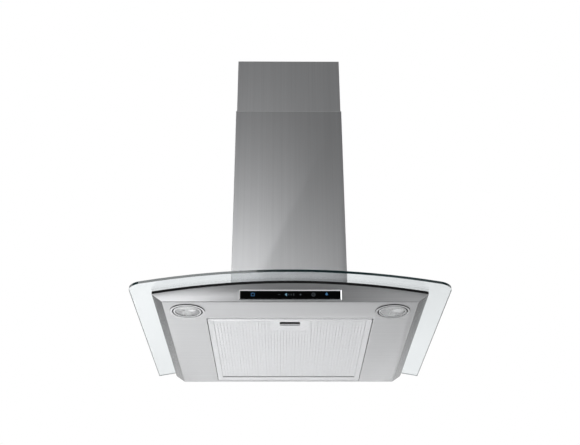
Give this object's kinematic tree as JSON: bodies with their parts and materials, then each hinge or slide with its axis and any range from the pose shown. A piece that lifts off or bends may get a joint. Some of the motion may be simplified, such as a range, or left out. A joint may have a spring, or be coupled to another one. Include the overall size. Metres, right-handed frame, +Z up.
{
  "type": "wall mount range hood",
  "caption": "Chimney range hood for a wall: slim steel body under an arched glass canopy, touch strip, spot lamps, hinged grease filter, blower and a telescopic chimney.",
  "frame": {"origin": "middle of the four wall fixing holes, on the wall plane and the hood's centre plane", "axes": "+X to the hood's right seen from the room, +Y into the wall, +Z up"},
  "size_m": [0.598, 0.51, 0.7356],
  "materials": {
    "stainless": "brushed along the long way, satin",
    "satin_steel": "satin turned ring",
    "polished_steel": "polished",
    "zinc_steel": "galvanised, dull",
    "clear_glass": "clear tempered, green blue at the edges",
    "black_glass": "black, polished",
    "lamp_glass": "clear to lightly frosted",
    "mirror_aluminium": "polished, faceted",
    "aluminium": "satin",
    "aluminium_mesh": "fine expanded mesh",
    "black_rubber": "matt",
    "grey_plastic": "moulded",
    "dark_plastic": "moulded",
    "white_plastic": "moulded",
    "circuit_board": "lacquered board"
  },
  "bodies": {
    "hood": {"canopy_panel": "stainless", "top_plate": "zinc_steel", "canopy_seal": "black_rubber", "glass_canopy": "clear_glass", "glass_screws": "polished_steel", "glass_bushes": "black_rubber", "glass_nuts": "zinc_steel", "motor_box": "zinc_steel", "box_screws": "zinc_steel", "box_top": "zinc_steel", "box_cover": "zinc_steel", "cover_screws": "zinc_steel", "scroll_wrap": "grey_plastic", "scroll_side_right": "grey_plastic", "scroll_side_left": "grey_plastic", "motor": "zinc_steel", "motor_bracket": "zinc_steel", "capacitor": "white_plastic", "module_housing": "white_plastic", "module_board": "circuit_board", "cable_gland": "dark_plastic", "duct_collar": "dark_plastic", "collar_screws": "zinc_steel", "flap_pins": "polished_steel", "chimney_lower": "stainless", "chimney_bracket": "zinc_steel", "cover_clips": "zinc_steel", "control_frame": "polished_steel", "control_glass": "black_glass", "control_housing": "dark_plastic", "control_board": "circuit_board", "lamp_bezel_right": "satin_steel", "lamp_bezel_left": "satin_steel", "lamp_ring_right": "satin_steel", "lamp_ring_left": "satin_steel", "lamp_lens_right": "lamp_glass", "lamp_lens_left": "lamp_glass", "lamp_reflector_right": "mirror_aluminium", "lamp_reflector_left": "mirror_aluminium", "lamp_can_right": "zinc_steel", "lamp_can_left": "zinc_steel", "lamp_holder_right": "white_plastic", "lamp_holder_left": "white_plastic", "lamp_bulb_right": "lamp_glass", "lamp_bulb_left": "lamp_glass"},
    "filter": {"filter_frame": "aluminium", "filter_face_mesh": "aluminium_mesh", "filter_core_mesh": "aluminium_mesh", "filter_top_mesh": "aluminium_mesh", "latch_housing": "aluminium", "latch_lid": "aluminium", "latch_springs": "polished_steel"},
    "latch": {"filter_latch": "aluminium"},
    "impeller": {"impeller": "dark_plastic", "impeller_disc": "dark_plastic", "motor_shaft": "polished_steel"},
    "flap_front": {"flap_front": "dark_plastic"},
    "flap_rear": {"flap_rear": "dark_plastic"},
    "chimney_upper": {"chimney_upper": "stainless"}
  },
  "joints": [
    {"name": "filter_hinge", "type": "hinge", "parent": "hood", "child": "filter", "pos_m": [0, -0.0142, -0.19], "axis": [1, 0, 0], "range_deg": [0, 70]},
    {"name": "latch_slide", "type": "slide", "parent": "filter", "child": "latch", "axis": [0, 1, 0], "range_m": [0, 0.005], "stiffness_N_per_m": 200, "springref_m": -0.005, "deforming": ["latch_springs"]},
    {"name": "impeller_spin", "type": "hinge", "parent": "hood", "child": "impeller", "pos_m": [0, -0.084, -0.04], "axis": [1, 0, 0], "continuous": true},
    {"name": "flap_front_hinge", "type": "hinge", "parent": "hood", "child": "flap_front", "pos_m": [0, -0.138, 0.15605], "axis": [-1, 0, 0], "range_deg": [0, 80]},
    {"name": "flap_rear_hinge", "type": "hinge", "parent": "hood", "child": "flap_rear", "pos_m": [0, -0.128, 0.15605], "axis": [1, 0, 0], "range_deg": [0, 80]},
    {"name": "chimney_slide", "type": "slide", "parent": "hood", "child": "chimney_upper", "axis": [0, 0, 1], "range_m": [-0.145, 0.22]}
  ]
}
